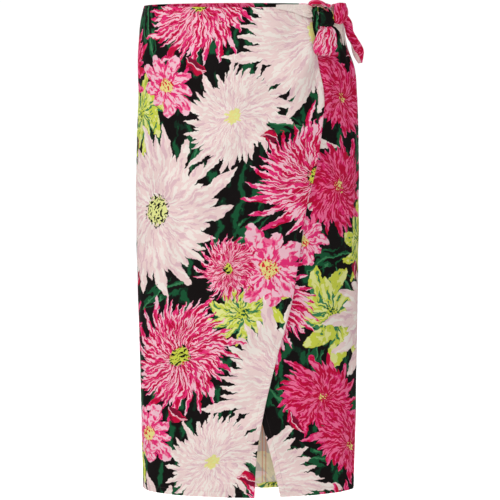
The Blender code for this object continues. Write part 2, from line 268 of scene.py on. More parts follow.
def addShell(name, outer, inner, uv, innerUv, turned, away, run, pale=None):
    # one closed shell between two grids of points: outer faces, inner faces and a rim. Inner faces marked as turned
    # have the outer finish, and outer faces marked as pale the inner one. The UV map is in metres.
    rows, columns = outer.shape[:2]
    count = rows * columns
    at = np.arange(count).reshape(rows, columns)
    quads = stacked(at[:-1, :-1], at[1:, :-1], at[1:, 1:], at[:-1, 1:]).reshape(-1, 4)
    rim = np.concatenate([at[0, :-1], at[:-1, -1], at[-1, :0:-1], at[:0:-1, 0]])
    ahead = np.roll(rim, -1)
    rimFaces = stacked(rim, ahead, ahead + count, rim + count)
    faces = np.concatenate([quads, quads[:, ::-1] + count, rimFaces])
    points = np.concatenate([outer.reshape(-1, 3), inner.reshape(-1, 3)])
    first, second, third, fourth = (points[faces[:, k]] for k in range(4))
    volume = np.sum(first * np.cross(second, third)) + np.sum(first * np.cross(third, fourth))
    if volume < 0:  # inside out
        faces = faces[:, ::-1]
    front = np.zeros(len(quads), int) if pale is None else pale.ravel().astype(int)
    slots = np.concatenate([front, np.where(turned.ravel(), 0, 1), np.zeros(len(rim), int)])
    values = {"edgeAway": np.tile(away.ravel(), 2), "edgeRun": np.tile(run.ravel(), 2)}
    return addMesh(name, points, faces.tolist(), np.concatenate([uv.reshape(-1, 2), innerUv.reshape(-1, 2)]), values,
                   slots)


panelPieces = {
    "frontOver": {
        "node": "front_over", "slot": "printed_crepe_front",
        "ends": (lambda d: panels["leftSeam"] - 360 + halfSeam(d), overEdge),
        "free": (False, True), "rises": True, "steps": (150, 250), "grain": 0.45, "print": (0.420, 0.470),
        "lift": (0.0006, 0.0022), "cut": (0.385, 0.815), "area": 0.262, "held": "hung", "rests": ["frontUnder"],
    },
    "frontUnder": {
        "node": "front_under", "slot": "printed_crepe_lower_front",
        "ends": (underEdge, lambda d: panels["rightSeam"] - halfSeam(d)),
        "free": (True, False), "rises": False, "steps": (140, 250), "grain": 0.70, "print": (0.290, 0.110),
        "lift": (0.0, 0.0), "cut": (0.355, 0.825), "area": 0.231, "held": "hung", "rests": ["back"],
    },
    "backPanel": {
        "node": "back", "slot": "printed_crepe_back",
        "ends": (lambda d: panels["rightSeam"] + halfSeam(d), lambda d: panels["leftSeam"] - halfSeam(d)),
        "free": (False, False), "rises": False, "steps": (170, 250), "grain": 0.50, "print": (0.300, 0.435),
        "lift": (0.0, 0.0), "cut": (0.490, 0.825), "area": 0.368, "held": "hung", "rests": [],
    },
}


sewing = {  # metres
    "crowded": {"across": (0.06, 0.16), "down": (0.022, 0.12)},  # more points near the edges
    "far": 1.0,
    "waistEdge": 0.0015,  # the waist's stitches lie this much nearer to its edge
    "hemRise": 0.00022, "hemStep": (-0.0007, 0.0009), "turned": (0.0085, 0.0105),
    "stitch": 0.00030, "stitchHalf": 0.0008, "seam": 0.00055, "seamHalf": 0.0016,
    "edgePucker": 0.00020, "edgeWaves": (7, 450, 1000), "edgeReach": 0.013,
    "seamPucker": 0.00028, "seamWaves": (7, 250, 620), "seamReach": 0.012,
    "liftDrops": (0.36, 0.62), "liftUneven": 0.35, "liftWaves": (5, 8, 34), "liftReach": 0.016,
}
darts = {  # degrees across, metres down and deep
    "bearings": (152, 208), "drop": 0.115, "fadeFrom": 0.75, "slant": 3.0, "groove": 0.0006, "half": 0.45,
    "tip": 0.0009, "tipHalf": (3.2, 0.018),
}


def addPanel(name, facts):
    # a point is (share across, share down): its bearing lies between the panel's two ends at its drop, its drop
    # between the waist and the hem, and its place out is the form's plus the wall, hem, seam, stitches and puckers
    columns, rows = facts["steps"]
    over = spaced(columns, *sewing["crowded"]["across"])[None, :]
    down = spaced(rows, *sewing["crowded"]["down"])[:, None]
    start, end = facts["ends"]
    drop = down * panels["length"] + 0 * over
    for _ in range(3):  # the ends and the waist and hem lines depend on each other a little
        bearing = start(drop) + (end(drop) - start(drop)) * over
        drop = waistDrop(bearing) * (1 - down) + hemDrop(bearing) * down
    out = panels["solidWall"] + 0 * bearing
    if facts["rises"]:
        out = out + panels["rise"] * ramp(bearing, *panels["riseBearings"])
    flat = clothPoint(bearing, drop, out)
    across, along = runs(flat, 1), runs(flat, 0)
    fromEnd, fromHem = across[:, -1:] - across, along[-1:] - along
    lengths = list(zip(facts["free"], (across, fromEnd)))
    side = np.minimum(*(np.where(free, length, sewing["far"]) for free, length in lengths))
    seam = np.minimum(*(np.where(free, sewing["far"], length) for free, length in lengths))
    level = np.minimum(along + sewing["waistEdge"], fromHem)
    away, run = np.minimum(side, level), np.where(side < level, along, across)
    hem, seed = panels["hemWidth"], sum(map(ord, name))
    low, high = sewing["hemStep"]
    out = out + sewing["hemRise"] * (1 - ramp(away, hem + low, hem + high))
    out = out - sewing["stitch"] * bell(away - hem, sewing["stitchHalf"])
    out = out - sewing["seam"] * bell(seam, sewing["seamHalf"])
    pucker = sewing["edgePucker"] * ripple(seed, sewing["edgeWaves"], run)
    out = out + pucker * bell(away, sewing["edgeReach"])
    pucker = sewing["seamPucker"] * ripple(seed + 1, sewing["seamWaves"], along)
    out = out + pucker * np.exp(-seam / sewing["seamReach"])
    low, high = facts["lift"]
    standing = low + (high - low) * ramp(drop, *sewing["liftDrops"])
    uneven = 1 + sewing["liftUneven"] * ripple(seed + 2, sewing["liftWaves"], drop)
    out = out + standing * uneven * bell(fromEnd, sewing["liftReach"])
    if name == "backPanel":
        wide, high = darts["tipHalf"]
        for dart in darts["bearings"]:
            fade = 1 - ramp(drop, darts["drop"] * darts["fadeFrom"], darts["drop"])
            off = bearing - dart - darts["slant"] * drop * math.copysign(1, 180 - dart)
            out = out - darts["groove"] * fade * bell(off, darts["half"])
            out = out + darts["tip"] * bell(off, wide) * bell(drop - darts["drop"], high)
    wall = panels["hemWall"] + (panels["wall"] - panels["hemWall"]) * ramp(away, *sewing["turned"])
    grain = np.array([np.interp(facts["grain"], over[0], row) for row in across])[:, None]
    u, start = across - grain, facts["print"]
    uv = onPrint(u, along, start)
    edgeU = np.where(facts["free"][1], u[:, -1:], u[:, :1])
    edgeV = np.where(along < fromHem, along[:1], along[-1:])
    sideTurned = (side < level)[..., None]
    turned = np.where(sideTurned, onPrint(2 * edgeU - u, along, start), onPrint(u, 2 * edgeV - along, start))
    innerUv = np.where((away < sewing["turned"][1])[..., None], turned, uv)
    isTurned = (away[:-1, :-1] + away[1:, 1:]) / 2 < hem
    outer, inner = clothPoint(bearing, drop, out), clothPoint(bearing, drop, out - wall)
    return addShell(name, outer, inner, uv, innerUv, isTurned, away, run)


facing = {  # the strip inside the back of the waist
    "node": "back_facing", "slot": "printed_crepe_facing", "cut": (0.420, 0.031), "area": 0.0125, "held": "hung",
    "rests": ["back"], "steps": (120, 18), "depth": 0.030, "inset": 2.0, "gap": 0.0014, "wall": 0.0006,
    "print": (0.02, 0.02), "printWide": 0.9, "edges": (0.0015, 0.003),
    "crease": 0.00015, "waves": (6, 60, 160), "wavesRound": 1.6 / 57,
}


def addFacing():
    over, down = (np.linspace(0, 1, steps + 1) for steps in facing["steps"])
    over, down = over[None, :], down[:, None]
    low, high = panels["rightSeam"] + facing["inset"], panels["leftSeam"] - facing["inset"]
    bearing = low + (high - low) * over + 0 * down
    drop = waistDrop(bearing) + facing["depth"] * down
    crease = np.abs(ripple(5, facing["waves"], bearing * facing["wavesRound"], drop))
    out = -facing["gap"] - facing["crease"] * crease
    flat = clothPoint(bearing, drop, out)
    across, along = runs(flat, 1), runs(flat, 0)
    uv = onPrint(across * facing["printWide"], along, facing["print"])
    upper, lower = facing["edges"]
    away = np.minimum(along + upper, along[-1:] - along + lower)
    inner = clothPoint(bearing, drop, out - facing["wall"])
    return addShell("backFacing", flat, inner, uv, uv, np.ones(facing["steps"][::-1], bool), away, across)


# The tie where it shows: stretches of one band of crepe, hemmed and gathered by the knot. Each follows a path of
# (bearing, drop, out, width, roll). Its broad side lies flat on the form, round it, out from it or straight across,
# and is turned by its roll about the path. Pleats are (place across from -1 to 1, half width, depth, start, end):
# soft grooves, some negative for ridges, that fade in from start to end along the path. A "folded" band has one edge
# turned over from that share of its path on, and shows the reverse there. Drops, places out, widths, depths, walls,
# cups and the heights of crowns are in millimetres here.
tiePieces = {
    "tieGatherOver": {
        "node": "tie_gather_over", "slot": "crepe_reverse", "broad": "flat", "flip": True, "wall": 0.7, "cup": 0.8,
        "crown": (0.5, 1, 0), "print": (0.16, 0.46), "cut": (0.027, 0.074), "area": 0.0012, "held": "gathered",
        "rests": ["frontOver"],
        "path": [
            (16.7, 1.6, 4.6, 6.5, 0), (22, 2.6, 4.8, 9.5, 0), (27.5, 4.3, 5.4, 13, 0), (32.4, 6.8, 6.6, 18, 0),
            (35.5, 8.5, 8, 19.5, 0), (38.4, 11, 9.2, 15, 0), (41.5, 13.8, 9.8, 9.5, 0), (44.5, 16.5, 10, 6, 0),
        ],
        "pleats": [
            (-0.72, 0.13, 1.7, 0.15, 0.55), (-0.38, 0.1, 2.21, 0.3, 0.62), (-0.1, 0.09, 1.7, 0, 0.45),
            (0.18, 0.1, 2.38, 0.25, 0.7), (0.47, 0.09, 1.87, 0.12, 0.5), (0.76, 0.1, 2.04, 0.35, 0.75),
            (0.33, 0.07, -1.36, 0.4, 0.8), (-0.55, 0.08, -1.36, 0.35, 0.8), (-0.22, 0.05, 1.19, 0.55, 0.85),
            (0.62, 0.05, -1.02, 0.55, 0.9),
        ],
    },
    "tieGatherUnder": {
        "node": "tie_gather_under", "slot": "crepe_reverse", "broad": "flat", "flip": True, "wall": 0.7, "cup": 0.8,
        "crown": (0.5, 1, 0), "print": (0.07, 0.47), "cut": (0.026, 0.06), "area": 0.00103, "held": "gathered",
        "rests": ["frontUnder"],
        "path": [
            (53, 24.5, 4, 10, 0), (60, 26.2, 5.6, 13, 0), (65.5, 32, 5.2, 15, 0), (69, 43.3, 4.7, 11, 0),
            (69.4, 52.8, 4.3, 6.5, 0), (68.4, 62.4, 4.1, 3.5, 0),
        ],
        "pleats": [
            (-0.66, 0.12, -1.7, 0.55, 0.2), (-0.33, 0.09, 2.04, 0.9, 0.35), (-0.05, 0.1, -1.53, 0.6, 0.3),
            (0.2, 0.08, 2.21, 0.85, 0.4), (0.5, 0.1, -1.36, 0.7, 0.3), (0.74, 0.08, 1.7, 0.8, 0.35),
        ],
    },
    "tieWrap": {
        "node": "tie_wrap", "slot": "printed_crepe_tie", "broad": "round", "flip": True, "wall": 0.9, "cup": 1.4,
        "crown": (0.5, 1, 0.6), "print": (0.136, 0.112), "cut": (0.012, 0.074), "area": 0.00078, "held": "folded",
        "rests": ["frontOver"],
        "path": [
            (39.9, 64.3, 5.2, 4.5, 0), (39.9, 52.2, 6.4, 7.5, 0), (40, 37.4, 9.2, 9, 0), (39.9, 22.8, 13.8, 9.6, 0),
            (39.5, 12.5, 16, 9.4, 0), (39.2, 6, 16.4, 8.6, 0), (39, 1, 14.6, 7.6, 0), (38.9, -2.4, 11.2, 6.4, 0),
        ],
        "pleats": [
            (-0.25, 0.16, 1.125, 0, 0.3), (0.35, 0.14, -0.75, 0.25, 0.6), (0.6, 0.1, 0.875, 0.1, 0.5),
        ],
    },
    "tieLoopFront": {
        "node": "tie_loop_front", "slot": "printed_crepe_tie", "broad": "out", "flip": False, "wall": 0.9, "cup": 1.2,
        "crown": (0.35, 0.25, 1.2), "print": (0.27, 0.458), "cut": (0.02, 0.086), "area": 0.00135, "held": "folded",
        "rests": ["tieKnot"],
        "path": [
            (49.6, 15, 15, 8, 0), (48.9, 7.4, 19, 11, -8), (47.1, 1, 21.5, 16, -18), (42.9, -5, 22, 18.5, -22),
            (39.1, -6.2, 21, 18.5, -22), (36.6, -5, 19.5, 16.5, -12), (35.9, -2.4, 18.7, 14.5, 4),
            (37.6, -0.2, 19.6, 13, 20), (41.6, 1.8, 20, 13.5, 34), (45.4, 5.8, 18, 11.5, 34), (48, 12, 14, 7, 20),
        ],
        "pleats": [
            (0.1, 0.2, 0.875, 0.3, 0.05), (-0.45, 0.14, -0.75, 0.35, 0.05), (0.55, 0.12, 0.75, 0.6, 0.95),
            (-0.15, 0.12, 0.875, 0.65, 0.95),
        ],
    },
    "tieLoopBack": {
        "node": "tie_loop_back", "slot": "printed_crepe_tie", "broad": "round", "flip": True, "wall": 0.9, "cup": -3,
        "crown": (0.55, 0.27, -2.8), "print": (0.27, 0.375), "cut": (0.036, 0.06), "area": 0.002, "held": "folded",
        "rests": ["tieKnot"],
        "path": [
            (56.6, 29, 17, 15, -6), (56.7, 23, 21.2, 25.5, -6), (56.8, 13.5, 23.8, 30.5, -6), (57, 5, 23.6, 28, -5),
            (57.4, -0.8, 20.5, 21.5, -2), (58, -1.2, 15.5, 19.5, 0), (59.2, 4.5, 11.5, 20, 4), (61.2, 13, 10, 18, 6),
        ],
        "pleats": [
            (0.05, 0.16, 2, 0.45, 0.02), (-0.42, 0.12, 1.625, 0.38, 0.03), (0.5, 0.13, 1.75, 0.36, 0.02),
            (-0.2, 0.1, -1.125, 0.34, 0.03), (0.27, 0.09, -1.125, 0.32, 0.02), (-0.7, 0.1, 1.125, 0.45, 0.05),
            (0.3, 0.14, 1.5, 0.7, 0.98), (-0.3, 0.12, 1.5, 0.68, 0.98),
        ],
    },
    "tieEndFront": {
        "node": "tie_end_front", "slot": "printed_crepe_tie", "broad": "round", "flip": False, "wall": 0.9, "cup": 3,
        "crown": (0.75, 0.3, 1.2), "print": (0.44, 0.462), "cut": (0.04, 0.055), "area": 0.0019, "held": "hung",
        "rests": ["tieKnot"],
        "path": [
            (46.3, 29.2, 11, 15, 15), (45.8, 34.5, 15, 20, 15), (45.2, 40, 18.8, 27, 15), (44.8, 46.8, 20, 33.5, 15),
            (44.7, 55, 19.5, 38, 14), (44.8, 65, 16.7, 39.2, 13), (44.9, 72.2, 14, 34.5, 12),
            (45.1, 76.4, 11.2, 25.5, 12), (45.3, 78, 8.6, 16, 12),
        ],
        "pleats": [
            (-0.1, 0.16, 2.25, 0.75, 0.05), (0.38, 0.12, 1.875, 0.6, 0.03), (-0.5, 0.13, 1.75, 0.65, 0.04),
            (0.14, 0.1, -1.375, 0.62, 0.05), (0.7, 0.1, 1.375, 0.7, 0.05), (-0.74, 0.09, 1.125, 0.55, 0.04),
            (-0.3, 0.08, -1.125, 0.55, 0.05),
        ],
    },
    "tieEndSide": {
        "node": "tie_end_side", "slot": "printed_crepe_tie", "broad": "across", "flip": False, "wall": 0.9,
        "cup": 1.6, "crown": (0.5, 0.4, 1), "print": (0.245, 0.445), "cut": (0.02, 0.09), "area": 0.00134,
        "held": "hung", "rests": ["tieKnot"], "folded": 0.36,
        "path": [
            (64.6, 10.8, 11, 9, 0), (69.2, 28.4, 16, 13.5, 0), (71, 43.1, 16.3, 13, 0), (73, 59.8, 18.5, 14, 0),
            (74.5, 76, 16.5, 17.5, 0), (75, 84.5, 14.3, 15, 0), (75.5, 93.6, 12.5, 7, 0),
        ],
        "pleats": [
            (0.15, 0.2, 2, 0.55, 0.02), (-0.4, 0.15, -1.25, 0.6, 0.1), (0.6, 0.12, 1.25, 0.7, 0.05),
            (-0.15, 0.22, 1.75, 0.55, 0.85),
        ],
    },
}


banding = {
    "steps": (96, 60),
    "pleatLine": (0.05, 3.0, 9.0),  # how far it wanders, and its turns along and from pleat to pleat
    "pleatFade": (0.7, 0.8),  # where the band is narrow, and towards its edges
    "crease": 0.00018, "creaseWaves": (9, 200, 700), "edge": 0.035, "edgeWaves": (5, 60, 260),
    "fold": (-1.15, 1.35), "foldRise": 0.0010, "foldStep": (-0.10, 0.02),
    "thin": {"edges": (0.93, 8), "ends": (0.9, 40)},
}


def addBand(name, facts):
    # across at over in -1 to 1 and along the path: centre + side * over * width / 2 + face * (cup * (1 - over ** 2)
    # - the pleats), with walls that thin to a rounded fold at both edges
    rows = np.array(facts["path"]) * (1, millimetre, millimetre, millimetre, 1)
    row = np.arange(len(rows), dtype=float)
    steps, columns = banding["steps"]
    place = np.linspace(0, row[-1], steps + 1)
    bearing, drop, out, width, roll = (through(row, rows[:, k], place) for k in range(5))
    centre = clothPoint(bearing, drop, out)
    ahead = unit(np.gradient(centre, axis=0))
    around, outward = directions(bearing, drop)
    sides = {"flat": np.cross(ahead, outward), "round": around, "out": outward, "across": np.array([[1.0, 0, 0]])}
    side = sides[facts["broad"]]
    side = unit(side - ahead * np.sum(side * ahead, axis=-1, keepdims=True))
    turn = np.radians(roll)[:, None]
    side = side * np.cos(turn) + np.cross(ahead, side) * np.sin(turn)
    face = np.cross(ahead, side)
    over = np.sin(np.linspace(-math.pi / 2, math.pi / 2, columns + 1))[None, :]  # closer together at the edges
    share = (place / row[-1])[:, None]
    run = np.concatenate([[0], np.cumsum(np.linalg.norm(np.diff(centre, axis=0), axis=-1))])[:, None]
    seed = sum(map(ord, name))
    crownAt, crownHalf, crown = facts["crown"]
    cup = millimetre * (facts["cup"] + crown * bell(share - crownAt, crownHalf))
    narrowing = (width / width.max())[:, None]  # a narrower stretch is cupped and pleated less
    rise = cup * (1 - over**2) * narrowing
    wander, turns, apart = banding["pleatLine"]
    power, edgeFade = banding["pleatFade"]
    shallow = millimetre * narrowing**power * (1 - edgeFade * over**4)
    for at, half, depth, low, high in facts["pleats"]:
        line = at + wander * np.sin(turns * share + apart * at)
        fade = ramp(share, low, high) if high > low else 1 - ramp(share, high, low)
        rise = rise - depth * shallow * fade * bell(over - line, half)
    rise = rise + banding["crease"] * ripple(seed, banding["creaseWaves"], run, over * width.max() / 2)
    turned = 0 * share - 2  # over no part of it
    if "folded" in facts:
        start, far = banding["fold"]
        turned = start + far * ramp(share, facts["folded"], 1.0)
        low, high = banding["foldStep"]
        rise = rise + banding["foldRise"] * (1 - ramp(over, turned + low, turned + high))
    edge = 1 + banding["edge"] * ripple(seed + 1, banding["edgeWaves"], run)  # the edges wander a little
    middle = centre[:, None] + side[:, None] * (over * edge * width[:, None] / 2)[..., None]
    middle = middle + face[:, None] * rise[..., None]
    part, power = banding["thin"]["edges"]
    half = millimetre * facts["wall"] / 2 * np.sqrt(1 - part * over**power)
    part, power = banding["thin"]["ends"]
    half = (half * np.sqrt(1 - part * np.abs(2 * share - 1) ** power))[..., None]
    normal = unit(np.cross(np.gradient(middle, axis=0), np.gradient(middle, axis=1)))
    normal = normal * np.sign(np.sum(normal * face[:, None], axis=-1, keepdims=True))
    if facts["flip"]:
        normal = -normal
    cut = runs(middle, 1)
    cut = cut - cut[:, columns // 2, None]
    uv = onPrint(cut, run + 0 * cut, facts["print"])
    return addShell(name, middle + normal * half, middle - normal * half, uv, uv, np.zeros((steps, columns), bool),
                    np.ones_like(cut), run + 0 * over, over[:, :-1] < turned[:-1])


knot = {
    "node": "tie_knot", "slot": "printed_crepe_tie",
    "bearing": 47.6, "drop": 0.0221, "out": 0.0124,
    "radii": (0.0148, 0.0106, 0.0160),  # round the form, out from it and up
    "print": (0.272, 0.294), "printSlant": (0.4, 0.3),
    "turns": 4.6, "slant": 0.62, "depth": 0.125, "start": 0.9, "sharp": (0.55, 0.72),
    "wander": {"across": (0.10, 2.6, 1.3), "up": (0.06, 5.1, 0.4), "out": 0.12},
    # a turn that lies across the others on one side, and the dent beside it
    "cross": {"turns": 2.9, "ways": (0.8, -0.5), "start": 2.2, "sharp": (0.5, 0.75), "from": (0.10, 0.45), "up": 0.35},
    "dent": (0.05, 0.2, 0.1),
    "uneven": 0.012, "waves": (8, 6, 14), "squared": 0.9, "steps": (160, 100),
}


def addKnot():
    # an ellipsoid of (longitude, latitude) whose radius is 1 + depth * (ridges with sharp valleys along a slanted,
    # wavering line) as where turns of cloth lie side by side
    bearing, drop = np.array(knot["bearing"]), np.array(knot["drop"])
    around, outward = directions(bearing, drop)
    centre = clothPoint(bearing, drop, knot["out"])
    columns, rows = knot["steps"]
    turn = np.linspace(0, 2 * math.pi, columns + 1)[None, :-1]
    tilt = np.linspace(-math.pi / 2, math.pi / 2, rows + 1)[1:-1, None]
    ball = stacked(np.cos(tilt) * np.sin(turn), np.cos(tilt) * np.cos(turn), np.sin(tilt) + 0 * turn)
    poles = np.array([[0, 0, -1.0], [0, 0, 1.0]])
    ball = np.concatenate([poles[:1], ball.reshape(-1, 3), poles[1:]])
    x, y, z = ball.T
    line = z * math.cos(knot["slant"]) + x * math.sin(knot["slant"]) + knot["wander"]["out"] * y
    for label, value in (("across", x), ("up", z)):
        far, turns, start = knot["wander"][label]
        line = line + far * np.sin(turns * value + start)
    power, level = knot["sharp"]
    ridges = np.abs(np.sin(knot["turns"] * line + knot["start"])) ** power - level
    cross = knot["cross"]
    (right, up), (power, level) = cross["ways"], cross["sharp"]
    second = np.abs(np.sin(cross["turns"] * (x * right + z * up) + cross["start"])) ** power - level
    towards = x + cross["up"] * z
    share = ramp(towards, *cross["from"])
    size = 1 + knot["depth"] * (ridges * (1 - share) + second * share)
    deep, at, half = knot["dent"]
    size = size - deep * bell(towards - at, half) + knot["uneven"] * ripple(3, knot["waves"], x, y, z)
    power = knot["squared"]
    rounder = stacked(np.sign(x) * np.abs(x) ** power, y, np.sign(z) * np.abs(z) ** power)
    radiusRound, radiusOut, radiusUp = knot["radii"]
    axes = np.stack([around * radiusRound, outward * radiusOut, np.array([0, 0, radiusUp])])
    points = centre + (rounder * size[:, None]) @ axes
    grid = 1 + np.arange((rows - 1) * columns).reshape(rows - 1, columns)
    after = np.roll(grid, -1, axis=1)
    quads = stacked(grid[:-1], after[:-1], after[1:], grid[1:]).reshape(-1, 4)
    low = stacked(0 * grid[0], after[0], grid[0])
    high = stacked(0 * grid[0] + len(points) - 1, grid[-1], after[-1])
    right, up = (slant * y * radiusOut for slant in knot["printSlant"])
    flat = onPrint(x * radiusRound + right, -z * radiusUp - up, knot["print"])
    faces = [*quads.tolist(), *low.tolist(), *high.tolist()]
    return addMesh("tieKnot", points, faces, flat, {"edgeAway": 1 + 0 * x, "edgeRun": 0 * x})


# Shader helpers. A Shade is a node's output, and its sums, products and so on are math nodes in the same tree.
class Shade:
    def __init__(self, socket):
        self.socket, self.tree = socket, socket.id_data


def give(inputs, values):  # each of them linked or set
    for name, value in values.items():
        if isinstance(value, Shade):
            value.tree.links.new(value.socket, inputs[name])
        else:
            inputs[name].default_value = value


def put(tree, kind, inputs=None, output=0, **settings):
    made = tree.nodes.new("ShaderNode" + kind)
    for name, value in settings.items():
        setattr(made, name, value)
    give(made.inputs, inputs or {})
    return Shade(made.outputs[output])


def maths(operation, *values):
    tree = next(value.tree for value in values if isinstance(value, Shade))
    return put(tree, "Math", dict(enumerate(values)), operation=operation)


for sign, work in {"add": "ADD", "sub": "SUBTRACT", "mul": "MULTIPLY", "truediv": "DIVIDE", "pow": "POWER"}.items():
    setattr(Shade, f"__{sign}__", lambda one, other, work=work: maths(work, one, other))
    setattr(Shade, f"__r{sign}__", lambda one, other, work=work: maths(work, other, one))


def vectors(operation, *values):
    names = (0, "Scale") if operation == "SCALE" else range(3)
    return put(values[0].tree, "VectorMath", dict(zip(names, values)), operation=operation)


def split(place):  # its X and Y
    x = put(place.tree, "SeparateXYZ", {0: place})
    return x, Shade(x.socket.node.outputs["Y"])


def softStep(value, low, high, start=0.0, end=1.0):  # start up to low, end from high on, an S between
    places = {"Value": value, "From Min": low, "From Max": high, "To Min": start, "To Max": end}
    return put(value.tree, "MapRange", places, interpolation_type="SMOOTHSTEP")


def blend(factor, under, over):
    tree = next(value.tree for value in (factor, under, over) if isinstance(value, Shade))
    return put(tree, "Mix", {0: factor, 6: under, 7: over}, 2, data_type="RGBA")


def noise(place, scale, detail=1.0, output=0):
    inputs = {"Vector": place, "Scale": scale, "Detail": detail}
    return put(place.tree, "TexNoise", inputs, output, noise_dimensions="2D")


def paint(red, green, blue):  # a colour as it is seen, 0 to 255, turned into light
    seen = np.array([red, green, blue]) / 255
    light = np.where(seen <= 0.04045, seen / 12.92, ((seen + 0.055) / 1.055) ** 2.4)
    return (*light.tolist(), 1.0)


def newMaterial(name):
    made = bpy.data.materials.new(name)
    made.use_nodes = True
    return made, made.node_tree, made.node_tree.nodes["Principled BSDF"].inputs


def newGroup(name, inputs, outputs):
    tree = bpy.data.node_groups.new(name, "ShaderNodeTree")
    kinds = {"number": "NodeSocketFloat", "vector": "NodeSocketVector", "colour": "NodeSocketColor"}
    for names, side in ((inputs, "INPUT"), (outputs, "OUTPUT")):
        for label, kind in names.items():
            tree.interface.new_socket(name=label, in_out=side, socket_type=kinds[kind])
    start, end = tree.nodes.new("NodeGroupInput"), tree.nodes.new("NodeGroupOutput")
    return tree, {label: Shade(start.outputs[label]) for label in inputs}, end.inputs


def use(tree, group, inputs):
    made = put(tree, "Group", inputs, node_tree=group)
    return {socket.name: Shade(socket) for socket in made.socket.node.outputs}


paints = {
    "black": (13, 7, 7), "darkGreen": (12, 42, 27), "green": (20, 84, 50), "midGreen": (60, 130, 84),
    "lime": (208, 216, 76), "paleLime": (232, 234, 150), "yellow": (236, 224, 140), "blush": (243, 216, 212),
    "milk": (248, 236, 228), "rose": (230, 192, 198), "paleRose": (248, 196, 210), "pink": (246, 112, 156),
    "hotPink": (234, 46, 118), "crimson": (198, 2, 58), "wine": (128, 8, 48), "red": (222, 30, 50),
}
paints = {name: paint(*seen) for name, seen in paints.items()}

printRepeat = (0.52, 0.56, 1.0)  # metres across and along

# Each bloom kind: its set of rings of petals, and these. "Cut" is how deep the petals part, "Tip" is 1 for a straight
# point and more for a rounder one, "Curl" turns the petals as they run out, and "Dark" and "Light" say how much of a
# petal is painted in its deep and its pale colour.
bloomTraits = ("Petals", "Cut", "Tip", "Curl", "Dark", "Light", "HeartSize", "Deep", "Body", "Pale", "Heart", "Speck")
bloomKinds = {
    "paleDahlia": ("full", 21, 0.58, 1.4, 0.05, 0.3, 0.46, 0.13, "rose", "blush", "milk", "yellow", "paleLime"),
    "speckledDahlia": ("full", 17, 0.58, 1.5, -0.06, 0.32, 0.44, 0.17, "rose", "blush", "milk", "paleLime", "black"),
    "pinkDahlia": ("full", 25, 0.56, 1.3, 0.08, 0.35, 0.47, 0.15, "crimson", "hotPink", "paleRose", "lime", "black"),
    "crimsonDahlia": (
        "full", 15, 0.56, 1.4, -0.08, 0.42, 0.46, 0.11, "crimson", "hotPink", "pink", "crimson", "yellow"
    ),
    "blossom": ("small", 9, 0.36, 1.8, 0.03, 0.32, 0.52, 0.22, "hotPink", "pink", "paleRose", "yellow", "red"),
    "limeBloom": ("small", 9, 0.5, 1.3, 0.1, 0.28, 0.47, 0.14, "midGreen", "lime", "paleLime", "lime", "green"),
}

# Where they lie on the repeat, from the lowest layer up: kind, across, along, radius (millimetres), turn (degrees),
# squash
bloomPlaces = [
    ("limeBloom", 255, 180, 96, 40, 0.8), ("limeBloom", 15, 545, 75, 160, 0.85),
    ("limeBloom", 335, 300, 72, 300, 0.75), ("paleDahlia", 115, 430, 154, 15, 0.9),
    ("pinkDahlia", 440, 475, 112, 130, 0.88), ("crimsonDahlia", 270, 385, 86, 100, 0.9),
    ("speckledDahlia", 385, 150, 140, 70, 0.92), ("crimsonDahlia", 235, 40, 84, 10, 0.85),
    ("pinkDahlia", 125, 200, 121, 25, 0.9), ("paleDahlia", 500, 300, 98, 120, 0.85),
    ("crimsonDahlia", 290, 525, 80, 200, 0.85), ("blossom", 55, 55, 77, 55, 0.92),
    ("blossom", 390, 345, 54, 20, 0.88), ("blossom", 205, 300, 48, 210, 0.9), ("pinkDahlia", 510, 60, 60, 290, 0.85),
]

# Leaves and striped buds: across, along, length, width (millimetres), turn (degrees)
leafPlaces = [
    (300, 220, 110, 36, 35), (225, 120, 90, 32, 100), (20, 120, 100, 34, 130), (45, 290, 100, 36, 20),
    (250, 270, 100, 32, 160), (450, 260, 90, 32, 110), (350, 430, 110, 36, 75), (215, 500, 90, 32, 10),
    (400, 20, 100, 34, 150), (150, 55, 110, 36, 65),
]
budPlaces = [
    (310, 250, 36, 20, 100), (440, 375, 38, 20, 30), (40, 270, 34, 19, 200), (340, 35, 34, 18, 320),
    (190, 555, 36, 19, 60),
]


def fromCentre(place, centre, turn):  # from a motif's centre, over the repeat's edges, and turned with it
    half = [size / 2 for size in printRepeat]
    near = vectors("WRAP", vectors("SUBTRACT", place, centre), half, [-size for size in half])
    return put(near.tree, "VectorRotate", {"Vector": near, "Angle": turn}, rotation_type="Z_AXIS")


def handOn(given, result, colour, mask):
    # The place goes on to the next motif with a zero added that needs this one's mask, so that Cycles works the
    # motifs out one by one and not all at once, which is more than its shader stack holds.
    zero = maths("MINIMUM", mask, 0.0)
    give(result, {"Colour": blend(mask, given["Under"], colour), "Place": vectors("ADD", given["Place"], zero)})


petals = {
    "length": (0.34, 0.80),  # shares of the ring's reach: what chance adds, and the least
    "edge": (-0.002, 0.007),
    "streaks": (4.4, 3.7, 4.5),  # across a petal, from one to the next, and along it
    "streakDetail": 1.4,
    "innerDark": 0.16,  # darker towards the heart, and towards the sides
    "sideDark": 0.10,
    "darkStep": (0.99, 1.015),
    "lightStep": 0.025,
    "outline": (0.25, 0.93, 0.99),  # the deep line round a petal, wider towards its tip
}


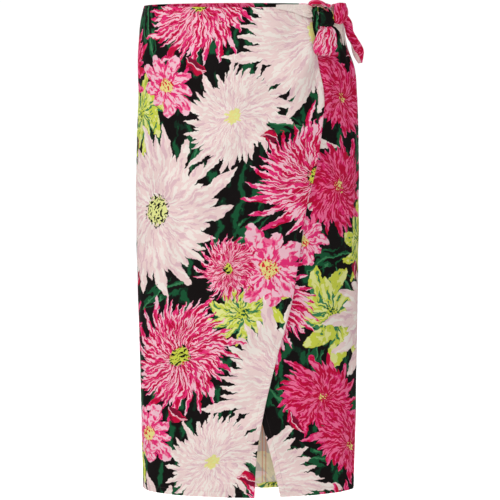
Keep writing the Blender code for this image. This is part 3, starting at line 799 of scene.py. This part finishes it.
def petalRing(given, away, turns, reach, phase, share):
    # petals in equal sectors; a petal's edge is at reach * (1 - cut * |across| ** tip), and a little by chance
    count = maths("ROUND", given["Petals"] * share)
    spin = turns * count + phase
    across = maths("FRACT", spin) - 0.5
    side = maths("ABSOLUTE", across) * 2.0
    which = maths("WRAP", maths("FLOOR", spin), count, 0.0)
    own = which + (given["Seed"] + reach * 7)
    chance = put(own.tree, "TexWhiteNoise", {"W": own}, noise_dimensions="1D")
    parted = side ** given["Tip"] * given["Cut"]
    more, least = petals["length"]
    edge = (1.0 - parted) * maths("MULTIPLY_ADD", chance, more * reach, least * reach)
    mask = softStep(edge - away, *petals["edge"])
    sideways, apart, lengthways = petals["streaks"]
    inputs = {"X": across * sideways, "Y": maths("MULTIPLY_ADD", own, apart, away * lengthways)}
    streak = noise(put(own.tree, "CombineXYZ", inputs), 1.0, petals["streakDetail"])
    along = away / edge
    shaded = streak + (1.0 - along) * petals["innerDark"]
    low, high = petals["darkStep"]
    dark = softStep(shaded + side * petals["sideDark"], low - given["Dark"], high - given["Dark"])
    light = softStep(streak, given["Light"], given["Light"] - petals["lightStep"])
    colour = blend(dark, given["Body"], given["Deep"])
    colour = blend(light, colour, given["Pale"])
    wider, low, high = petals["outline"]
    return blend(softStep(side + along * wider, low, high), colour, given["Deep"]), mask


ringSets = {  # each ring's reach, phase and share of the petals
    "full": [(1.0, 0.0, 1.0), (0.80, 0.5, 1.0), (0.57, 0.27, 0.8), (0.35, 0.71, 0.6)],
    "small": [(1.0, 0.0, 1.0), (0.62, 0.4, 0.8)],
}
heart = {"fray": 230.0, "specks": (0.55, 0.57), "edge": (0.0, 0.008)}


def motifGroup(name, numbers, colours):
    inputs = {"Place": "vector", "Centre": "vector", "Under": "colour"}
    inputs.update({**dict.fromkeys(numbers, "number"), **dict.fromkeys(colours, "colour")})
    tree, given, result = newGroup(name, inputs, {"Colour": "colour", "Place": "vector"})
    return tree, given, result, fromCentre(given["Place"], given["Centre"], given["Turn"])


def buildBloom(rings):
    numbers = ("Radius", "Turn", "Squash", "Petals", "Cut", "Tip", "Curl", "Dark", "Light", "HeartSize", "Seed")
    tree, given, result, off = motifGroup("bloom", numbers, ("Deep", "Body", "Pale", "Heart", "Speck"))
    x, y = split(off)
    y = y / given["Squash"]
    away = maths("SQRT", x * x + y * y) / given["Radius"]
    turns = maths("MULTIPLY_ADD", away, given["Curl"], maths("ARCTAN2", y, x) / (2 * math.pi))
    colour, mask = petalRing(given, away, turns, *rings[0])
    for ring in rings[1:]:
        over, ringMask = petalRing(given, away, turns, *ring)
        colour = blend(ringMask, colour, over)
        mask = maths("MAXIMUM", mask, ringMask)
    fray = noise(off, heart["fray"])
    frayed = (fray + 0.5) * given["HeartSize"]
    middle = blend(softStep(fray, *heart["specks"]), given["Heart"], given["Speck"])
    colour = blend(softStep(frayed - away, *heart["edge"]), colour, middle)
    handOn(given, result, colour, mask)
    return tree


leaves = {
    "bend": 0.3, "stretch": (0.35, 1.0, 1.0), "grain": (90.0, 1.5), "jagged": 0.9, "edge": (0.0, 0.06),
    "deep": (0.53, 0.54), "pale": (0.40, 0.36), "rib": (0.10, 0.04),
}


def buildLeaf():  # a lens: its half width is width / 2 * (1 - along ** 2), with a jagged edge and a pale rib
    tree, given, result, off = motifGroup("leaf", ("Length", "Width", "Turn"), ("Deep", "Body", "Pale"))
    x, y = split(off)
    along = x / (given["Length"] * 0.5)
    bend = along * along * (given["Width"] * leaves["bend"])
    side = maths("ABSOLUTE", (y - bend) / (given["Width"] * 0.5))
    grain = noise(vectors("MULTIPLY", off, leaves["stretch"]), *leaves["grain"])
    edge = 1.0 - along * along + (grain - 0.5) * leaves["jagged"]
    mask = softStep(edge - side, *leaves["edge"])
    colour = blend(softStep(grain, *leaves["deep"]), given["Body"], given["Deep"])
    colour = blend(softStep(grain, *leaves["pale"]), colour, given["Pale"])
    colour = blend(softStep(side, *leaves["rib"]), colour, given["Pale"])
    handOn(given, result, colour, mask)
    return tree


def lay(place, colour, group, across, along, turn, facts):  # one motif over those before it
    centre = (across * millimetre, along * millimetre, 0)
    inputs = {"Place": place, "Centre": centre, "Turn": math.radians(turn), "Under": colour, **facts}
    out = use(place.tree, group, inputs)
    return out["Place"], out["Colour"]


brush = {
    "edge": (34.0, 2.0, 0.014),  # a brush's unsteady edge and its bristles: scale, detail and how far off
    "bristles": (170.0, 1.0, 0.0045),
    "stretch": (1.0, 0.40, 1.0),  # the strokes of the ground
    "strokes": (64.0, 1.5),
    "ground": [("darkGreen", 0.55, 0.555), ("green", 0.62, 0.625)],
    "leaf": ("black", "green", "midGreen"),  # deep, body and pale
    "bud": ("wine", "crimson", "paleRose"),
}


def buildPrint():
    tree, given, result = newGroup("floralPrint", {"Place": "vector"}, {"Colour": "colour"})
    blooms, leaf = {name: buildBloom(rings) for name, rings in ringSets.items()}, buildLeaf()
    place = given["Place"]
    for *grain, far in (brush["edge"], brush["bristles"]):
        off = vectors("SUBTRACT", noise(given["Place"], *grain, "Color"), (0.5,) * 3)
        place = vectors("ADD", place, vectors("MULTIPLY", off, (far, far, 0.0)))
    strokes = noise(vectors("MULTIPLY", place, brush["stretch"]), *brush["strokes"])
    colour = paints["black"]
    for name, low, high in brush["ground"]:
        colour = blend(softStep(strokes, low, high), colour, paints[name])

    def addLeaves(places, part, place, colour):
        look = {label: paints[name] for label, name in zip(("Deep", "Body", "Pale"), brush[part])}
        for across, along, length, width, turn in places:
            facts = {"Length": length * millimetre, "Width": width * millimetre, **look}
            place, colour = lay(place, colour, leaf, across, along, turn, facts)
        return place, colour

    place, colour = addLeaves(leafPlaces, "leaf", place, colour)
    for seed, (kind, across, along, radius, turn, squash) in enumerate(bloomPlaces):
        rings, *values = bloomKinds[kind]
        look = {label: paints.get(value, value) for label, value in zip(bloomTraits, values)}
        look.update(Radius=radius * millimetre, Squash=squash, Seed=31.0 * seed)
        place, colour = lay(place, colour, blooms[rings], across, along, turn, look)
    give(result, {"Colour": addLeaves(budPlaces, "bud", place, colour)[1]})
    return tree


weave = {
    "grain": (1500.0, 1.0, 0.00016),  # scale, detail and height of the pebbled grain, level slubs and soft waves
    "slub": (700.0, 1.5, 0.00022),
    "slubStretch": (0.12, 1.0, 1.0),
    "soft": (160.0, 1.0, 0.00030),
    "stitch": 0.0028,  # from one stitch to the next
    "thread": (0.00034, 0.00016),
    "gaps": (0.42, 0.34),
    "groove": (0.0009, 0.0002),
    "grooveHeight": -0.00018,
    "threadHeight": 0.00022,
}


def buildCrepe():  # crepe's grain and a stitch line along the hems: a height in metres
    inputs = {"Place": "vector", "Away": "number", "Run": "number"}
    tree, given, result = newGroup("crepe", inputs, {"Height": "number", "Stitch": "number"})
    place = given["Place"]
    height = 0.0
    for label, at in (("grain", place), ("slub", vectors("MULTIPLY", place, weave["slubStretch"])), ("soft", place)):
        scale, detail, high = weave[label]
        height = maths("MULTIPLY_ADD", noise(at, scale, detail), high, height)
    line = maths("ABSOLUTE", given["Away"] - panels["hemWidth"])
    dash = maths("ABSOLUTE", maths("FRACT", given["Run"] / weave["stitch"]) - 0.5)
    stitch = softStep(line, *weave["thread"]) * softStep(dash, *weave["gaps"])
    groove = softStep(line, *weave["groove"])
    height = maths("MULTIPLY_ADD", groove, weave["grooveHeight"], height)
    height = maths("MULTIPLY_ADD", stitch, weave["threadHeight"], height)
    give(result, {"Height": height, "Stitch": stitch})
    return tree


finishes = {
    "print": {"roughness": (0.62, 0.78), "sheen": 0.01, "sheenRoughness": 0.6, "specular": 0.10, "bump": 0.60},
    "reverse": {"roughness": (0.78, 0.90), "sheen": 0.03, "sheenRoughness": 0.6, "specular": 0.18, "bump": 0.45},
}
faded = {"share": 0.66, "paint": paint(246, 236, 226)}  # the print's ghost on the reverse
worn = {"scale": 22.0, "detail": 2.0, "shade": (0.28, 0.72, 0.93, 1.0), "rough": (0.25, 0.75)}  # a little unevenly
stitches = {"share": 0.22, "paint": paint(120, 96, 100)}

# two rows of orange thread that run down the reverse of the back, and where they lie across its UV map
overlock = {"across": 0.272, "apart": 0.0054, "edge": (0.0012, 0.0007), "share": 0.6, "paint": paint(216, 136, 92)}


def crepeMaterial(name, finish, floral, crepe, sewn=False):
    facts = finishes[finish]
    made, tree, shader = newMaterial(name)
    place = put(tree, "UVMap", uv_map="cloth")
    away, run = (put(tree, "Attribute", None, "Fac", attribute_name=label) for label in ("edgeAway", "edgeRun"))
    relief = use(tree, crepe, {"Place": place, "Away": away, "Run": run})
    colour = use(tree, floral, {"Place": place})["Colour"]
    if finish == "reverse":
        colour = blend(faded["share"], colour, faded["paint"])
    uneven = noise(place, worn["scale"], worn["detail"])
    colour = vectors("SCALE", colour, softStep(uneven, *worn["shade"]))
    colour = blend(relief["Stitch"] * stitches["share"], colour, stitches["paint"])
    if sewn:
        off = maths("ABSOLUTE", split(place)[0] - overlock["across"])
        off = maths("ABSOLUTE", off - overlock["apart"] / 2)
        colour = blend(softStep(off, *overlock["edge"]) * overlock["share"], colour, overlock["paint"])
    rough = softStep(uneven, *worn["rough"], *facts["roughness"])
    bump = put(tree, "Bump", {"Height": relief["Height"], "Strength": facts["bump"], "Distance": 1.0})
    give(shader, {"Base Color": colour, "Roughness": rough, "Normal": bump, "Specular IOR Level": facts["specular"],
                  "Sheen Weight": facts["sheen"], "Sheen Roughness": facts["sheenRoughness"]})
    return made


floral, crepe = buildPrint(), buildCrepe()
printed = crepeMaterial("printedCrepe", "print", floral, crepe)
reverse = crepeMaterial("crepeReverse", "reverse", floral, crepe)
backReverse = crepeMaterial("backReverse", "reverse", floral, crepe, sewn=True)
print("print and cloth made")


def declare(piece, facts, *cloths):
    for cloth in cloths:
        piece.data.materials.append(cloth)
    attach(piece, "root")
    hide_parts(facts["node"])


for name, facts in panelPieces.items():
    declare(addPanel(name, facts), facts, printed, backReverse if name == "backPanel" else reverse)
declare(addFacing(), facing, printed, reverse)
print("panels made")

for name, facts in tiePieces.items():
    cloths = (reverse, printed) if facts["slot"] == "crepe_reverse" else (printed, reverse)
    declare(addBand(name, facts), facts, *cloths)
declare(addKnot(), knot, printed)
print("tie made")

lights = {
    "keyLeft": {"place": (-2.9, -3.0, 2.1), "aim": (0, 0, -0.35), "size": (1.3, 1.6), "power": 92},
    "fillRight": {"place": (2.9, -3.0, 1.0), "aim": (0, 0, -0.40), "size": (2.0, 2.4), "power": 24},
    "frontLow": {"place": (0.2, -4.8, 0.4), "aim": (0, 0, -0.42), "size": (2.4, 1.6), "power": 14},
    "top": {"place": (0.0, 0.2, 2.6), "aim": (0, 0, -0.2), "size": (2.4, 2.4), "power": 14},
    "behind": {"place": (-1.2, 3.4, 1.9), "aim": (0, 0, -0.4), "size": (2.4, 1.6), "power": 44},
    "inside": {"place": (0.03, 0, -1.12), "aim": (0.03, 0, 0), "size": (0.25, 0.12), "power": 1.6},
}
studio = {
    "background": (1.05, 0.32),  # how white the camera sees it, and how much light it gives
    "floor": (0.8, 0.12), "floorHeight": -1.15, "floorRadius": 14, "floorSides": 96, "floorGrey": 0.85,
    "floorRoughness": 0.9,
}


def cameraWhite(tree, seen, given):
    return maths("MULTIPLY_ADD", put(tree, "LightPath", output="Is Camera Ray"), seen - given, given)


def addLights():
    for name, facts in lights.items():
        light = bpy.data.lights.new(name, "AREA")
        light.shape, light.energy = "RECTANGLE", facts["power"]
        light.size, light.size_y = facts["size"]
        holder = addObject(name, light)
        holder.location = facts["place"]
        way = Vector(facts["aim"]) - Vector(facts["place"])
        holder.rotation_euler = way.to_track_quat("-Z", "Y").to_euler()
    world = bpy.data.worlds.new("studio")
    world.use_nodes = True
    tree = world.node_tree
    white = cameraWhite(tree, *studio["background"])
    give(tree.nodes["Background"].inputs, {"Color": (1, 1, 1, 1), "Strength": white})
    bpy.context.scene.world = world


def addStage():  # a wide pale floor, well below the hem
    sides, radius = studio["floorSides"], studio["floorRadius"]
    turn = np.linspace(0, 2 * math.pi, sides + 1)[:-1]
    points = stacked(radius * np.cos(turn), radius * np.sin(turn), 0 * turn + studio["floorHeight"])
    mesh = bpy.data.meshes.new("studioFloor")
    mesh.from_pydata(points.tolist(), [], [list(range(sides))])
    made, tree, shader = newMaterial("paleFloor")
    white = cameraWhite(tree, *studio["floor"])
    give(shader, {"Base Color": (*[studio["floorGrey"]] * 3, 1), "Roughness": studio["floorRoughness"],
                  "Emission Color": (1, 1, 1, 1), "Emission Strength": white})
    mesh.materials.append(made)
    addObject("studioFloor", mesh)


addLights()
addStage()
bpy.context.scene.view_settings.view_transform = "Standard"
print("lights and floor made")
